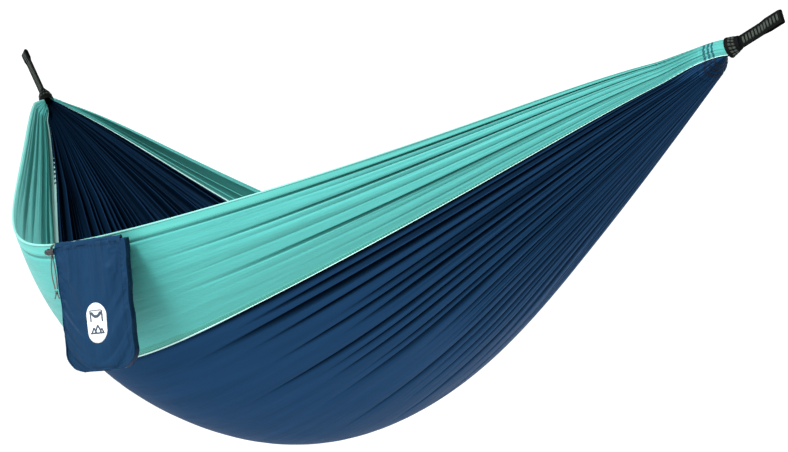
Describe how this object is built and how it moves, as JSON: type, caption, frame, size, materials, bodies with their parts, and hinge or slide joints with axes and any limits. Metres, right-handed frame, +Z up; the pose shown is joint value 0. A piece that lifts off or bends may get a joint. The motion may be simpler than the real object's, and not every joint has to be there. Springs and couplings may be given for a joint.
{
  "type": "camping hammock",
  "caption": "Gathered-end camping hammock of three sewn cloth panels, hung by short webbing loops, with a drawcord stuff sack sewn to one edge.",
  "frame": {"origin": "on the line joining the two gathered ends, midway between them", "axes": "+X along the hammock towards the right end, -Y the near side with the sack, +Z up"},
  "size_m": [2.4383, 1.1258, 0.8379],
  "materials": {
    "turquoise_cloth": "thin parachute nylon with a soft sheen",
    "navy_cloth": "thin parachute nylon with a soft sheen",
    "seam_tape": "felled seam, several rows of thread",
    "sack_cloth": "thin nylon, slightly crumpled",
    "webbing": "woven polyester webbing",
    "webbing_thread": "heavy grey-green thread",
    "drawcord": "braided cord",
    "label": "woven label, matt",
    "black_plastic": "moulded, matt",
    "spring_steel": "bare wire"
  },
  "bodies": {
    "suspension": {"left_strap_loop": "webbing", "right_strap_loop": "webbing", "left_strap_stitching": "webbing_thread", "right_strap_stitching": "webbing_thread"},
    "hammock": {"near_edge_hem": "turquoise_cloth", "near_side_panel": "turquoise_cloth", "near_panel_seam": "seam_tape", "centre_panel": "navy_cloth", "far_panel_seam": "seam_tape", "far_side_panel": "turquoise_cloth", "far_edge_hem": "turquoise_cloth", "left_end_channel_near": "turquoise_cloth", "left_end_channel_centre": "navy_cloth", "left_end_channel_far": "turquoise_cloth", "right_end_channel_near": "turquoise_cloth", "right_end_channel_centre": "navy_cloth", "right_end_channel_far": "turquoise_cloth", "left_gathered_bundle": "navy_cloth", "right_gathered_bundle": "navy_cloth", "left_webbing_collar": "webbing", "right_webbing_collar": "webbing"},
    "sack": {"sack_back_panel": "sack_cloth", "sack_front_panel": "sack_cloth", "sack_gusset": "sack_cloth", "sack_piping": "sack_cloth", "sack_hang_tape": "sack_cloth", "sack_drawcord_sleeve": "sack_cloth", "sack_label": "label", "drawcord_in_sleeve": "drawcord", "drawcord_front_strand": "drawcord", "drawcord_back_strand": "drawcord", "drawcord_knot": "drawcord"},
    "cord_lock": {"cord_lock_barrel": "black_plastic", "cord_lock_spring": "spring_steel"},
    "lock_button": {"cord_lock_button": "black_plastic"}
  },
  "joints": [
    {"name": "hammock_swing", "type": "hinge", "parent": "suspension", "child": "hammock", "pos_m": [0, 0, 0.012], "axis": [1, 0, 0], "range_deg": [-30, 30]},
    {"name": "sack_flap", "type": "hinge", "parent": "hammock", "child": "sack", "pos_m": [0.154, -0.52106, -0.34488], "axis": [0.9334, 0.3269, 0.1478], "range_deg": [-75, 4]},
    {"name": "cord_lock_slide", "type": "slide", "parent": "sack", "child": "cord_lock", "axis": [0.1102, 0.1309, -0.9853], "range_m": [0, 0.05], "deforming": ["drawcord_front_strand", "drawcord_back_strand"]},
    {"name": "lock_button_press", "type": "slide", "parent": "cord_lock", "child": "lock_button", "axis": [0.9334, 0.3269, 0.1478], "range_m": [0, 0.0025], "stiffness_N_per_m": 1200, "springref_m": -0.002, "deforming": ["cord_lock_spring"]}
  ]
}
